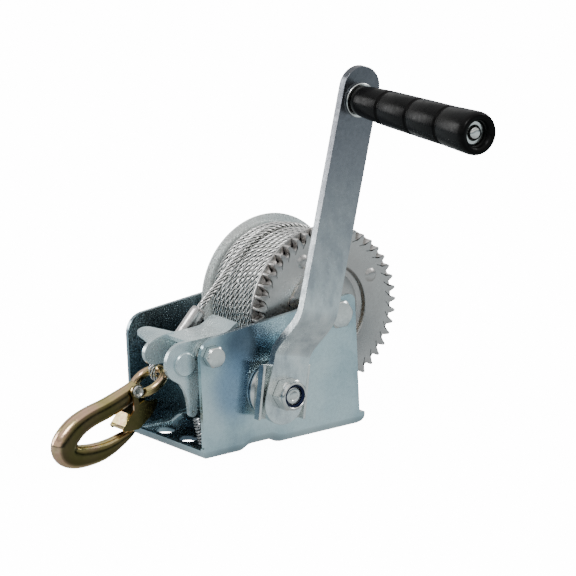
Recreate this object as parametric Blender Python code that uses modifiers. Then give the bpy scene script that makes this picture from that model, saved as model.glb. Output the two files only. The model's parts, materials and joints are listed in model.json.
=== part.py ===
"""Boat trailer winch, as separate parts.

Lengths below are in millimetres and become metres when the meshes are made. The origin is on the
underside of the base, straight below the drum axis and midway between the side plates. +X points to
the crank side, -Y to the front, where the hook hangs, and +Z up.
"""

import math

import bmesh
import bpy
from mathutils import Matrix, Vector

MM = 0.001
GAP = 0.3                       # clearance between touching pieces
SHEET = 3.0                     # frame and pawl sheet

# Frame
HALF_WIDTH = 43.5               # to the outer face of each side plate
FRONT_Y, BACK_Y = -107.5, 15.3  # side plate edges
LIP_FRONT_Y, LIP_BACK_Y = -108.5, 19.3
FRONT_LIP, BACK_LIP = 7.0, 12.0
SIDE_FRONT, SIDE_SLOPE = 80.1, 0.081
BEND = 6.5                      # outer radius of the base bends
RIB_Y, RIB_RAMP, RIB_FLAT, RIB_HEIGHT = -62.0, 9.0, 14.0, 3.2
HOLE_PITCH, HOLE_R, HOLE_Y = 26.5, 5.5, -91.5

# Drum and gearing
DRUM_Z = 78.9
MODULE, GEAR_TEETH, PINION_TEETH = 2.4, 44, 11
CENTRES = MODULE * (GEAR_TEETH + PINION_TEETH) / 2
MESH_ANGLE = math.radians(218.2)            # from the drum axis to the shaft, +Y towards +Z
SHAFT_Y = CENTRES * math.cos(MESH_ANGLE)
SHAFT_Z = DRUM_Z + CENTRES * math.sin(MESH_ANGLE)
GEAR_X = (26.9, 33.0)
DIMPLE_R = 39.5                 # from the drum's axis to each raised dimple
STOP = (-24.0, DRUM_Z + 9.0)    # where the cable's inner end passes through the flange and the gear
DISH_R, DISH_X = 30.0, 29.4
NEAR_FLANGE_X, NEAR_FLANGE_R = (25.4, 26.6), 55.5
FAR_FLANGE_X, FAR_FLANGE_R = (-35.8, -34.4), 51.8
CORE_R, WINDING_R = 20.0, 47.5
AXLE_R, SHAFT_R, STUD_R = 5.0, 8.0, 6.0

# Crank
THROW, TILT = 196.4, math.radians(-15.75)   # arm length and its lean towards the back
ARM_WIDTH, ARM_THICK = 28.0, 6.0
LOBE_R, LOBE_DROP = 15.0, 6.0               # the arm's wider round foot, centred below the shaft
ARM_LOW_X, ARM_HIGH_X = 51.8, 72.5          # inner face of the arm below and above its joggle
JOGGLE = (24.0, 59.0)                       # stretch along the arm where it steps outwards
BRACKET_TILT = math.radians(-9.8)
BRACKET_X = (49.4, 56.2)
GRIP_X = (79.4, 207.5)
ROD_R = 5.0

# Pawl
PIVOT_Y, PIVOT_Z, PIVOT_R = -98.0, 69.0, 4.0
NEAR_EAR_X, FAR_EAR_X = (31.5, 34.5), (6.0, 9.0)
WEB_Z, WEB_SHEET = 78.7, 2.6
TAB_X = -16.5
SPRING_X, SPRING_LOW, SPRING_HIGH = 36.2, (-103.6, 9.4), (-107.6, 28.0)

# Cable and hook
ROPE_R = 2.4
HOOK_X = -1.5
FERRULE_TOP, FERRULE_END = (-76.5, 87.4), (-92.5, 69.6)
EYE_Y, EYE_Z, EYE_R, EYE_WIRE = -118.8, 47.2, 11.3, 3.1
EYE_DIR = (0.845, 0.535)                    # in Y and Z, from the shank to the top of the eye
RIVET_Y, RIVET_Z, RIVET_R = -132.4, 44.4, 2.6
EAR_R, FLANK_X = 4.8, (6.5, 7.9)            # latch: ear round the rivet, flank from the hook's plane


# ---------------------------------------------------------------- helpers

def clear_scene():
    for old in list(bpy.data.objects):
        bpy.data.objects.remove(old, do_unlink=True)


def collection(name):
    made = bpy.data.collections.new(name)
    bpy.context.scene.collection.children.link(made)
    return made


def material(name, colour, metallic, roughness):
    made = bpy.data.materials.new(name)
    made.use_nodes = True
    shader = made.node_tree.nodes["Principled BSDF"]
    shader.inputs["Base Color"].default_value = (*colour, 1)
    shader.inputs["Metallic"].default_value = metallic
    shader.inputs["Roughness"].default_value = roughness
    made.diffuse_color = (*colour, 1)
    return made


def add(name, mesh, where, look=None):
    """A new object of that mesh, in the parts collection, or in the cutters where it has no look."""
    made = bpy.data.objects.new(name, mesh)
    made.matrix_world = where
    if look:
        PARTS.objects.link(made)
        mesh.materials.append(look)
    else:
        CUTTERS.objects.link(made)
        made.hide_render = True
        made.display_type = "WIRE"
    return made


def tidy_mesh(shape, name, smooth=40):
    """Welds a bmesh, turns its faces out and gives it to a mesh, round faces shaded smooth."""
    bmesh.ops.remove_doubles(shape, verts=shape.verts, dist=1e-6)
    bmesh.ops.recalc_face_normals(shape, faces=shape.faces)
    mesh = bpy.data.meshes.new(name)
    shape.to_mesh(mesh)
    shape.free()
    mesh.shade_smooth()
    mesh.set_sharp_from_angle(angle=math.radians(smooth))
    return mesh


def facing_x(x=0.0, y=0.0, z=0.0, turn=0.0):
    """Local X, Y and Z become world Y, Z and X, then the piece turns about X and moves."""
    axes = Matrix(((0, 0, 1, 0), (1, 0, 0, 0), (0, 1, 0, 0), (0, 0, 0, 1)))
    return Matrix.Translation(Vector((x, y, z)) * MM) @ Matrix.Rotation(turn, 4, "X") @ axes


def extrusion(name, loops, depth, where, look=None):
    """A flat outline, its holes after it, given its depth along local Z."""
    curve = bpy.data.curves.new(name, "CURVE")
    curve.dimensions = "2D"
    curve.fill_mode = "BOTH"
    curve.extrude = depth / 2 * MM
    for loop in loops:
        spline = curve.splines.new("POLY")
        spline.points.add(len(loop) - 1)
        for point, (a, b) in zip(spline.points, loop):
            point.co = (a * MM, b * MM, 0, 1)
        spline.use_cyclic_u = True
    return solid_of(curve, name, where, look)


def solid_of(curve, name, where, look=None):
    """The closed mesh of a curve, which is removed."""
    guide = bpy.data.objects.new(name, curve)
    CUTTERS.objects.link(guide)
    bpy.context.view_layer.update()
    raw = bpy.data.meshes.new_from_object(guide.evaluated_get(bpy.context.evaluated_depsgraph_get()))
    shape = bmesh.new()
    shape.from_mesh(raw)
    bpy.data.meshes.remove(raw)
    bpy.data.objects.remove(guide)
    bpy.data.curves.remove(curve)
    return add(name, tidy_mesh(shape, name), where, look)


def plate(name, loops, x_range, look=None):
    """A flat solid whose outline lies in the YZ plane, between two X values."""
    low, high = x_range
    return extrusion(name, loops, high - low, facing_x((low + high) / 2), look)


def turned(name, profile, where, look=None, steps=24):
    """A profile of (radius, height) pairs turned about local Z. It runs down its outer side."""
    mesh = bpy.data.meshes.new(name)
    shape = bmesh.new()
    corners = [shape.verts.new((r * MM, 0, h * MM)) for r, h in profile]
    pairs = list(zip(corners, corners[1:]))
    if profile[0][0] > 0:
        pairs.append((corners[-1], corners[0]))
    for pair in pairs:
        shape.edges.new(pair)
    shape.to_mesh(mesh)
    shape.free()
    made = add(name, mesh, where, look)
    screw = made.modifiers.new("turn", "SCREW")
    screw.steps = screw.render_steps = steps
    screw.use_merge_vertices = True
    screw.merge_threshold = 0.00001
    screw.use_smooth_shade = True
    return made


def ring(name, inner, outer, x_range, y, z, look=None, steps=24):
    """A tube along X, or a rod where inner is 0."""
    low, high = x_range
    if inner:
        profile = [(outer, high), (outer, low), (inner, low), (inner, high)]
    else:
        profile = [(0, high), (outer, high), (outer, low), (0, low)]
    where = Matrix.Translation(Vector((0, y, z)) * MM) @ Matrix.Rotation(math.pi / 2, 4, "Y")
    return turned(name, profile, where, look, steps)


def along_x(y, z):
    return Matrix.Translation(Vector((0, y, z)) * MM) @ Matrix.Rotation(math.pi / 2, 4, "Y")


def boolean(piece, tool, how="DIFFERENCE"):
    step = piece.modifiers.new(tool.name, "BOOLEAN")
    step.operation = how
    step.object = tool


def block(name, low, high, look=None):
    shape = bmesh.new()
    bmesh.ops.create_cube(shape, size=1)
    size = [(b - a) * MM for a, b in zip(low, high)]
    bmesh.ops.scale(shape, vec=size, verts=shape.verts)
    centre = Vector([(a + b) / 2 * MM for a, b in zip(low, high)])
    return add(name, tidy_mesh(shape, name), Matrix.Translation(centre), look)


def arc(y, z, r, start, end, count):
    steps = [math.radians(start + (end - start) * i / (count - 1)) for i in range(count)]
    return [(y + r * math.cos(a), z + r * math.sin(a)) for a in steps]


def circle(y, z, r, count=24):
    return arc(y, z, r, 0, 360 - 360 / count, count)


def rounded(corners, count=5):
    """A polygon whose corners (a, b, radius) are rounded."""
    outline = []
    for i, (a, b, r) in enumerate(corners):
        here = Vector((a, b))
        back = (Vector(corners[i - 1][:2]) - here).normalized()
        ahead = (Vector(corners[(i + 1) % len(corners)][:2]) - here).normalized()
        if not r:
            outline.append((a, b))
            continue
        half = back.angle(ahead) / 2
        reach = r / math.tan(half)
        middle = here + (back + ahead).normalized() * (r / math.sin(half))
        first, last = here + back * reach - middle, here + ahead * reach - middle
        turn = first.angle_signed(last)
        for k in range(count):
            outline.append(tuple(middle + Matrix.Rotation(-turn * k / (count - 1), 2) @ first))
    return outline


def smooth_path(points, step):
    """Points about a step apart on a Catmull-Rom curve through the given points."""
    spots = [Vector(p) for p in points]
    spots = [spots[0] * 2 - spots[1], *spots, spots[-1] * 2 - spots[-2]]
    path = []
    for a, b, c, d in zip(spots, spots[1:], spots[2:], spots[3:]):
        count = max(1, round((c - b).length / step))
        for i in range(count):
            t = i / count
            path.append(
                0.5 * (2 * b + (c - a) * t + (2 * a - 5 * b + 4 * c - d) * t * t
                       + (3 * b - a - 3 * c + d) * t ** 3)
            )
    return [*path, spots[-2]]


def rod(name, path, radius, look, resolution=2):
    """A round wire along a path of points in millimetres."""
    curve = bpy.data.curves.new(name, "CURVE")
    curve.dimensions = "3D"
    curve.bevel_depth = radius * MM
    curve.bevel_resolution = resolution
    curve.use_fill_caps = True
    spline = curve.splines.new("POLY")
    spline.points.add(len(path) - 1)
    for point, spot in zip(spline.points, path):
        point.co = (*(Vector(spot) * MM), 1)
    return solid_of(curve, name, Matrix.Identity(4), look)


def loft(name, sections, look=None):
    """A solid through rings of points, each of the same count, with closed ends."""
    shape = bmesh.new()
    rings = [[shape.verts.new(Vector(p) * MM) for p in section] for section in sections]
    count = len(rings[0])
    for low, high in zip(rings, rings[1:]):
        for i in range(count):
            j = (i + 1) % count
            shape.faces.new((low[i], low[j], high[j], high[i]))
    shape.faces.new(rings[0])
    shape.faces.new(rings[-1])
    return add(name, tidy_mesh(shape, name, 60), Matrix.Identity(4), look)


def hexagon(across_flats):
    return circle(0, 0, across_flats / math.sqrt(3), 6)


# ---------------------------------------------------------------- frame

def rib_lift(y):
    """How far the pressed cross rib raises the base at y."""
    away = abs(y - RIB_Y) - RIB_FLAT / 2
    if away <= 0:
        return RIB_HEIGHT
    if away >= RIB_RAMP:
        return 0.0
    return RIB_HEIGHT * (1 + math.cos(math.pi * away / RIB_RAMP)) / 2


def frame_tray():
    """An open tray with bent lower edges and a raised rib, thickened inwards."""
    top = SIDE_FRONT + SIDE_SLOPE * (LIP_BACK_Y - FRONT_Y) + 3
    shape = bmesh.new()
    bmesh.ops.create_cube(shape, size=1)
    bmesh.ops.scale(shape, vec=(2 * HALF_WIDTH, LIP_BACK_Y - LIP_FRONT_Y, top), verts=shape.verts)
    bmesh.ops.translate(shape, vec=(0, (LIP_BACK_Y + LIP_FRONT_Y) / 2, top / 2), verts=shape.verts)
    lid = [f for f in shape.faces if f.normal.z > 0.9]
    bmesh.ops.delete(shape, geom=lid, context="FACES_ONLY")
    low = [e for e in shape.edges if all(v.co.z < 0.1 for v in e.verts)]
    bmesh.ops.bevel(shape, geom=low, offset=BEND, offset_type="OFFSET", segments=4, profile=0.5,
                    affect="EDGES")
    stations = [RIB_Y + side * (RIB_FLAT / 2 + RIB_RAMP * k / 4) for side in (-1, 1) for k in range(5)]
    for y in stations:
        bmesh.ops.bisect_plane(shape, geom=[*shape.verts, *shape.edges, *shape.faces],
                               plane_co=(0, y, 0), plane_no=(0, 1, 0), dist=1e-5)
    for v in shape.verts:
        if v.co.z < BEND + 0.1:
            v.co.z += rib_lift(v.co.y)
    bmesh.ops.scale(shape, vec=(MM, MM, MM), verts=shape.verts)
    tray = add("frame", tidy_mesh(shape, "frame", 30), Matrix.Identity(4), ZINC)
    wall = tray.modifiers.new("sheet", "SOLIDIFY")
    wall.thickness = SHEET * MM
    wall.offset = -1
    wall.use_even_offset = True
    return tray


def side_top_cutter():
    """What lies above and ahead of the side plates' sloping, round-cornered edge."""
    back_top = SIDE_FRONT + SIDE_SLOPE * (BACK_Y - FRONT_Y)
    edge = rounded([
        (FRONT_Y, -20, 0), (FRONT_Y, SIDE_FRONT, 13), (BACK_Y, back_top, 5), (BACK_Y, -20, 0),
    ], 7)
    outer = [(BACK_Y + 40, -20), (BACK_Y + 40, 140), (FRONT_Y - 40, 140), (FRONT_Y - 40, -20)]
    above = plate("cut_side_outline", [edge + outer], (-60, 60))
    keep_low = block("cut_keep_lips", (-60, FRONT_Y - 60, -30), (60, BACK_Y + 60, FRONT_LIP + 1.5))
    boolean(above, keep_low)
    return above


def frame():
    tray = frame_tray()
    boolean(tray, side_top_cutter())
    inner = HALF_WIDTH - SHEET
    cutters = [
        block("cut_front", (-inner, LIP_FRONT_Y - 5, FRONT_LIP), (inner, LIP_FRONT_Y + 8, 120)),
        block("cut_back", (-inner, LIP_BACK_Y - 8, BACK_LIP), (inner, LIP_BACK_Y + 5, 120)),
    ]
    for i in (-1, 0, 1):
        cutters.append(slot_cutter(f"cut_front_hole_{i + 2}", i * HOLE_PITCH, HOLE_Y, 3.0))
    for i in (-1, 1):
        cutters.append(slot_cutter(f"cut_back_hole_{(i + 3) // 2}", i * HOLE_PITCH, -22.0, 6.0))
    for name, y, z, r in (
        ("cut_axle", 0, DRUM_Z, AXLE_R + GAP),
        ("cut_shaft", SHAFT_Y, SHAFT_Z, 10.0),
    ):
        cutters.append(ring(name, 0, r, (-60, 60), y, z, steps=32))
    cutters.append(ring("cut_pivot", 0, PIVOT_R + GAP, (20, 60), PIVOT_Y, PIVOT_Z, steps=32))
    for cutter in cutters:
        boolean(tray, cutter)
    return tray


def slot_cutter(name, x, y, stretch):
    """A mounting hole, a little longer across the winch."""
    loop = arc(x + stretch / 2, y, HOLE_R, -90, 90, 9) + arc(x - stretch / 2, y, HOLE_R, 90, 270, 9)
    return extrusion(name, [loop], 40, Matrix.Identity(4))


# ---------------------------------------------------------------- gear teeth

def involute(radius, base):
    """The angle that an involute has turned from its base circle at a radius."""
    if radius <= base:
        return 0.0
    pressure = math.acos(base / radius)
    return math.tan(pressure) - pressure


def gear_outline(teeth, tip, root, phase, backlash, undercut=0.0):
    """Involute teeth, one of them centred on the phase angle."""
    pitch = MODULE * teeth / 2
    base = pitch * math.cos(math.radians(20))
    half = math.pi / teeth / 2 - backlash / 2 / pitch + involute(pitch, base)
    radii = [root + (tip - root) * k / 2 for k in range(3)]
    outline = []
    for tooth in range(teeth):
        centre = phase + 2 * math.pi * tooth / teeth
        flank = []
        for r in radii:
            wide = half - involute(r, base)
            if r < base:
                wide -= undercut * (base - r) / r
            flank.append((r, wide))
        for r, wide in flank:
            outline.append((r * math.cos(centre - wide), r * math.sin(centre - wide)))
        for r, wide in reversed(flank):
            outline.append((r * math.cos(centre + wide), r * math.sin(centre + wide)))
    return outline


def shifted(outline, y, z):
    return [(a + y, b + z) for a, b in outline]


def drum_gear():
    teeth = gear_outline(GEAR_TEETH, 55.2, 49.8, MESH_ANGLE, 0.5)
    wheel = plate("drum_gear", [shifted(teeth, 0, DRUM_Z), circle(0, DRUM_Z, 14, 24)], GEAR_X, GEAR_STEEL)
    boolean(wheel, ring("cut_dish", 0, DISH_R, (DISH_X, 40), 0, DRUM_Z, steps=40))
    boolean(wheel, ring("cut_cable_hole", 0, 4.6, (20, 40), *STOP, steps=14))
    for k in range(4):
        angle = math.radians(25.4 + 90 * k)
        dimple = turned(
            f"dimple_{k + 1}", [(0, GEAR_X[1] + 1.6), (2.6, GEAR_X[1] + 1.4), (4.3, GEAR_X[1] + 0.2),
                                (4.5, GEAR_X[1] - 1.5), (0, GEAR_X[1] - 1.5)],
            along_x(DIMPLE_R * math.cos(angle), DRUM_Z + DIMPLE_R * math.sin(angle)), steps=12)
        boolean(wheel, dimple, "UNION")
    return wheel


def drum():
    drum_gear()
    low, high = NEAR_FLANGE_X
    near = ring("near_flange", 17.5, NEAR_FLANGE_R, (low, high), 0, DRUM_Z, GEAR_STEEL, 48)
    boolean(near, ring("cut_flange_hole", 0, 4.6, (20, 40), *STOP, steps=14))
    low, high = FAR_FLANGE_X
    profile = [
        (FAR_FLANGE_R - 3, high), (FAR_FLANGE_R, high - 1.0), (FAR_FLANGE_R, low - 1.0),
        (FAR_FLANGE_R - 3, low), (11.3, low), (11.3, high),
    ]
    turned("far_flange", profile, along_x(0, DRUM_Z), ZINC, 48)
    ring("drum_core", CORE_R - 2.3, CORE_R, (FAR_FLANGE_X[1] + GAP, NEAR_FLANGE_X[0] - GAP), 0, DRUM_Z,
         ZINC)
    ring("drum_bushing_near", 8.3, 13.6, (18.0, 33.5), 0, DRUM_Z, BRONZE)
    ring("drum_bushing_far", 8.3, 11.0, (-38.0, -24.0), 0, DRUM_Z, BRONZE)
    winding = [
        (WINDING_R, 24.0), (WINDING_R, -33.0), (WINDING_R - 2, -34.0), (CORE_R + GAP, -34.0),
        (CORE_R + GAP, 25.0), (WINDING_R - 2, 25.0),
    ]
    turned("cable_winding", winding, along_x(0, DRUM_Z), WIRE, 40)
    cable_stop()


def cable_stop():
    """The crimped inner end of the cable, in the hole through the flange and the gear."""
    ring("cable_stop", 0, 3.6, (25.6, 31.0), *STOP, ALUMINIUM, 14)


# ---------------------------------------------------------------- bolts and nuts

def bolt(name, across, head, shank, radius, y, z, look):
    """A hexagon bolt along X: head and shank are X ranges that meet."""
    low, high = head
    body = plate(name, [shifted(hexagon(across), y, z)], (low, high), look)
    corner = across / math.sqrt(3)
    start, end = (low, high) if shank[0] < low else (high, low)
    slope = 1.4 if end > start else -1.4
    cone = [(0, max(start, end) + 1), (corner + 2, max(start, end) + 1), (corner + 2, min(start, end) - 1),
            (0, min(start, end) - 1)]
    chamfer = turned(f"chamfer_{name}", cone, along_x(y, z), steps=32)
    trim = [(across / 2 - 0.2, end + slope), (corner + 3, end + slope), (corner + 3, end - slope),
            (across / 2 + 1.0, end - slope * 0.6)]
    if slope < 0:
        trim = trim[::-1]
    boolean(chamfer, turned(f"bevel_{name}", trim, along_x(y, z), steps=32))
    boolean(body, chamfer, "INTERSECT")
    boolean(body, ring(f"shank_{name}", 0, radius, shank, y, z, steps=24), "UNION")
    return body


def nut(name, across, x_range, hole, y, z, look):
    return plate(name, [shifted(hexagon(across), y, z), circle(y, z, hole, 24)], x_range, look)


def drum_axle():
    bolt("drum_axle_bolt", 17, (HALF_WIDTH + GAP, HALF_WIDTH + 6.7), (-54.0, HALF_WIDTH + 1), AXLE_R, 0,
         DRUM_Z, BRIGHT_ZINC)
    nut("drum_axle_nut", 17, (-HALF_WIDTH - 8.3, -HALF_WIDTH - GAP), AXLE_R + GAP, 0, DRUM_Z, BRIGHT_ZINC)
    inner = HALF_WIDTH - SHEET - GAP
    ring("axle_sleeve", AXLE_R + GAP, 8.0, (-inner, inner), 0, DRUM_Z, BRIGHT_ZINC)


# ---------------------------------------------------------------- shaft and crank

def drive_shaft():
    profile = [
        (0, 66.5), (STUD_R - 0.8, 66.5), (STUD_R, 65.7), (STUD_R, 49.0), (SHAFT_R, 49.0),
        (SHAFT_R, -44.6), (SHAFT_R - 1, -44.6), (SHAFT_R - 1, -46.2), (SHAFT_R, -46.2),
        (SHAFT_R, -48.2), (SHAFT_R - 0.8, -49.0), (0, -49.0),
    ]
    turned("drive_shaft", profile, along_x(SHAFT_Y, SHAFT_Z), BRIGHT_ZINC)
    ring("shaft_retainer", SHAFT_R - 0.7, 11.5, (-46.0, -44.8), SHAFT_Y, SHAFT_Z, SPRING_STEEL)
    teeth = gear_outline(PINION_TEETH, 15.6, 10.3, MESH_ANGLE + math.pi + math.pi / PINION_TEETH, 0.5, 0.25)
    plate("pinion", [shifted(teeth, SHAFT_Y, SHAFT_Z), circle(SHAFT_Y, SHAFT_Z, SHAFT_R + GAP, 24)],
          (27.2, 39.6), GEAR_STEEL)
    for side, name in ((1, "shaft_bushing_near"), (-1, "shaft_bushing_far")):
        inside, outside = side * (HALF_WIDTH - SHEET), side * (HALF_WIDTH + GAP)
        lip = outside + side * 0.8 if side > 0 else -HALF_WIDTH - GAP - 0.7
        profile = [(13.0, outside), (9.7, outside), (9.7, inside), (SHAFT_R + GAP, inside),
                   (SHAFT_R + GAP, lip), (13.0, lip)]
        turned(name, profile if side > 0 else profile[::-1], along_x(SHAFT_Y, SHAFT_Z), BRONZE)


def thrust_washer():
    """A dished washer between the side plate and the crank bracket."""
    profile = [
        (10.5, 47.8), (14.0, 47.8), (19.5, 45.6), (19.5, 44.1), (18.5, 44.1), (13.6, 46.3),
        (SHAFT_R + GAP, 46.3), (SHAFT_R + GAP, 47.8),
    ]
    turned("thrust_washer", profile, along_x(SHAFT_Y, SHAFT_Z), BRIGHT_ZINC, 32)


def crank_frame(tilt=TILT):
    """Local Y runs along the arm, local X across it towards the back, and local Z along world X."""
    return facing_x(0, SHAFT_Y, SHAFT_Z, tilt)


def handle_bracket():
    """A square channel whose flanges hold the arm from both sides."""
    outer, wall, height = 18.6, 2.2, 36.0
    web, rim = BRACKET_X
    section = [
        (-outer, rim), (-outer, web + 1.5), (-outer + 1.5, web), (outer - 1.5, web), (outer, web + 1.5),
        (outer, rim), (outer - wall, rim), (outer - wall, web + wall), (-outer + wall, web + wall),
        (-outer + wall, rim),
    ]
    across = Matrix(((1, 0, 0, 0), (0, 0, 1, 0), (0, 1, 0, 0), (0, 0, 0, 1)))
    bracket = extrusion("handle_bracket", [section], height, crank_frame(BRACKET_TILT) @ across, BRIGHT_ZINC)
    boolean(bracket, ring("cut_bracket", 0, STUD_R + GAP, (40, 60), SHAFT_Y, SHAFT_Z, steps=24))
    return bracket


def arm_side():
    """The arm seen from its edge: pairs of distance along it and X."""
    (low, high), step = JOGGLE, ARM_HIGH_X - ARM_LOW_X
    middle = []
    for k in range(13):
        t = k / 12
        middle.append((low + (high - low) * t, ARM_LOW_X + step * (3 * t * t - 2 * t ** 3)))
    middle = [(-40, ARM_LOW_X), *middle, (THROW + 40, ARM_HIGH_X)]
    top = []
    for i, (s, x) in enumerate(middle):
        back, ahead = middle[max(i - 1, 0)], middle[min(i + 1, len(middle) - 1)]
        run = Vector((ahead[0] - back[0], ahead[1] - back[1])).normalized()
        top.append((s - run.y * ARM_THICK, x + run.x * ARM_THICK))
    return middle + top[::-1]


def crank_arm():
    side = arm_side()
    along = Matrix(((0, 0, 1, 0), (1, 0, 0, 0), (0, 1, 0, 0), (0, 0, 0, 1)))
    arm = extrusion("crank_arm", [side], 60, crank_frame() @ along, ARM_ZINC)
    half = ARM_WIDTH / 2
    outline = (
        arc(0, -LOBE_DROP, LOBE_R, 180, 360, 17)
        + [(LOBE_R, 0.0), (half, 16.0), (half, THROW)]
        + arc(0, THROW + 8, half, 0, 180, 17)
        + [(-half, THROW), (-half, 16.0), (-LOBE_R, 0.0)]
    )
    face = extrusion("arm_outline", [outline], 80, crank_frame() @ Matrix.Translation((0, 0, 65 * MM)))
    boolean(arm, face, "INTERSECT")
    boolean(arm, ring("cut_arm_low", 0, STUD_R + GAP, (40, 70), SHAFT_Y, SHAFT_Z, steps=24))
    grip_y, grip_z = grip_axis()
    boolean(arm, ring("cut_arm_high", 0, ROD_R + GAP, (65, 90), grip_y, grip_z, steps=24))
    return arm


def grip_axis():
    return SHAFT_Y - THROW * math.sin(TILT), SHAFT_Z + THROW * math.cos(TILT)


def crank_nut():
    low = ARM_LOW_X + ARM_THICK + GAP
    nut("crank_lock_nut", 19, (low, low + 8.0), STUD_R + GAP, SHAFT_Y, SHAFT_Z, BRIGHT_ZINC)
    collar = [(9.7, low + 10.6), (9.7, low + 7.8), (7.6, low + 7.8), (7.6, low + 10.6)]
    crown = turned("crown", collar, along_x(SHAFT_Y, SHAFT_Z), steps=32)
    boolean(bpy.data.objects["crank_lock_nut"], crown, "UNION")
    ring("nylon_insert", STUD_R + GAP, 7.3, (low + 8.2, low + 10.0), SHAFT_Y, SHAFT_Z, NYLON)


def grip():
    y, z = grip_axis()
    where = along_x(y, z)
    low, high = GRIP_X
    rod_profile = [
        (0, high - 3.0), (ROD_R - 1, high - 3.0), (ROD_R, high - 4.0), (ROD_R, low - 7.2), (11.0, low - 7.2),
        (11.0, low - 11.0), (9.5, low - 12.8), (0, low - 13.4),
    ]
    turned("grip_rod", rod_profile, where, BRIGHT_ZINC, 24)
    ring("grip_washer", ROD_R + GAP, 11.2, (low - 0.6, low + 0.8), y, z, BRIGHT_ZINC)
    start, length = low + 1.1, high - low - 1.1
    outer = [(8.9, start), (9.6, start + 1.2), (10.6, start + length * 0.1)]
    for share, size in ((0.245, 11.6), (0.5, 12.4), (0.755, 13.1)):
        at = start + length * share
        outer += [(size - 0.1, at - 1.6), (size - 1.0, at), (size, at + 1.6)]
    outer += [(14.0, high - 9.0), (13.9, high - 3.4), (12.8, high - 0.8), (11.8, high)]
    profile = outer[::-1] + [(ROD_R + GAP, start), (ROD_R + GAP, high - 8.0), (8.0, high - 8.0),
                             (8.0, high - 1.0)]
    turned("hand_grip", profile, where, BLACK, 28)
    ring("grip_end_washer", ROD_R + GAP, 7.6, (high - 7.6, high - 6.0), y, z, BRIGHT_ZINC, 24)


# ---------------------------------------------------------------- pawl

def pawl():
    """One pressed piece: two ears, the web between them, a thumb tab, a back tongue and a tail."""
    y0 = FRONT_Y
    near = (
        arc(y0 - 7.0, 65.8, 13.5, 90, 220, 12)
        + [(y0 - 10.3, 52.0), (y0 - 7.2, 47.5), (y0 - 5.4, 41.5), (y0 - 4.4, 34.0)]
        + arc(y0 - 1.5, 31.5, 3.0, 180, 350, 6)
        + [(y0 + 2.4, 40.0), (y0 + 4.4, 47.0), (y0 + 9.0, 52.5), (y0 + 16.0, 53.5), (y0 + 34.0, 43.2),
           (y0 + 37.4, 45.4), (y0 + 34.2, 50.5), (y0 + 24.0, 60.0), (y0 + 20.5, 70.0), (y0 + 20.0, 79.3)]
    )
    tail_hole = circle(y0 - 1.4, 32.2, 1.3, 10)
    pivot = circle(PIVOT_Y, PIVOT_Z, PIVOT_R + GAP, 24)
    body = plate("pawl", [near, pivot, tail_hole], NEAR_EAR_X, ZINC)
    boss = turned(
        "pawl_boss", [(0, 36.4), (7.2, 36.4), (7.9, 35.6), (7.9, 33.0), (0, 33.0)],
        along_x(y0 - 6.3, 64.8), steps=28)
    boolean(body, boss, "UNION")
    far = arc(y0 - 12.3, 68.4, 7.8, 90, 270, 12) + rounded([
        (y0 - 1.0, 60.6, 0), (y0 + 18.5, 58.5, 6), (y0 + 20.0, WEB_Z - 0.1, 0), (y0 - 4.0, WEB_Z - 0.1, 0),
    ])
    other = plate("pawl_far_ear", [far, pivot], FAR_EAR_X)
    boolean(body, other, "UNION")
    web = [
        (y0 - 2.0, WEB_Z), (y0 + 17.5, WEB_Z), (y0 + 25.5, WEB_Z + 0.6), (y0 + 30.0, WEB_Z + 2.5),
        (y0 + 33.0, WEB_Z + 4.7), (y0 + 36.0, WEB_Z + 5.7), (y0 + 38.7, WEB_Z + 4.7),
        (y0 + 40.9, WEB_Z + 1.9),
    ]
    boolean(body, back_tongue(web), "UNION")
    boolean(body, thumb_tab(), "UNION")
    return body


def back_tongue(web):
    """The web between the ears, rounded at the back where it rises behind them."""
    low, high = FAR_EAR_X[0] + 0.01, NEAR_EAR_X[1] - 0.01
    sheet = plate("pawl_web", [strip(web, WEB_SHEET)], (low, high))
    front, back = FRONT_Y - 10, FRONT_Y + 41
    outline = rounded([(low - 1, front, 0), (high + 1, front, 0), (high + 1, back, 11), (low - 1, back, 11)], 9)
    boolean(sheet, extrusion("web_outline", [outline], 60, Matrix.Translation((0, 0, 70 * MM))), "INTERSECT")
    return sheet


def strip(top, thickness):
    """A sheet seen from its edge: a line of points and the same line moved square to it, downwards."""
    under = []
    for i, (y, z) in enumerate(top):
        back, ahead = top[max(i - 1, 0)], top[min(i + 1, len(top) - 1)]
        run = Vector((ahead[0] - back[0], ahead[1] - back[1])).normalized()
        under.append((y + run.y * thickness, z - run.x * thickness))
    return top + under[::-1]


def thumb_tab():
    """The web goes on past the far ear as a tab that slopes down to the front."""
    y0 = FRONT_Y
    slope = [(y0 - 15.0, 76.0), (y0 - 11.0, 77.6), (y0 - 5.0, 79.0), (y0 + 2.0, WEB_Z + 0.8),
             (y0 + 4.5, WEB_Z + 0.8)]
    tab = plate("pawl_tab", [strip(slope, WEB_SHEET - 0.2)], (TAB_X, FAR_EAR_X[1] - 0.2))
    outline = rounded([
        (TAB_X, y0 - 9.5, 4.5), (FAR_EAR_X[1], y0 - 14.6, 0), (FAR_EAR_X[1] + 1, y0 + 3.8, 0),
        (TAB_X, y0 - 1.0, 4.5),
    ])
    boolean(tab, extrusion("tab_outline", [outline], 60, Matrix.Translation((0, 0, 70 * MM))), "INTERSECT")
    return tab


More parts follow.
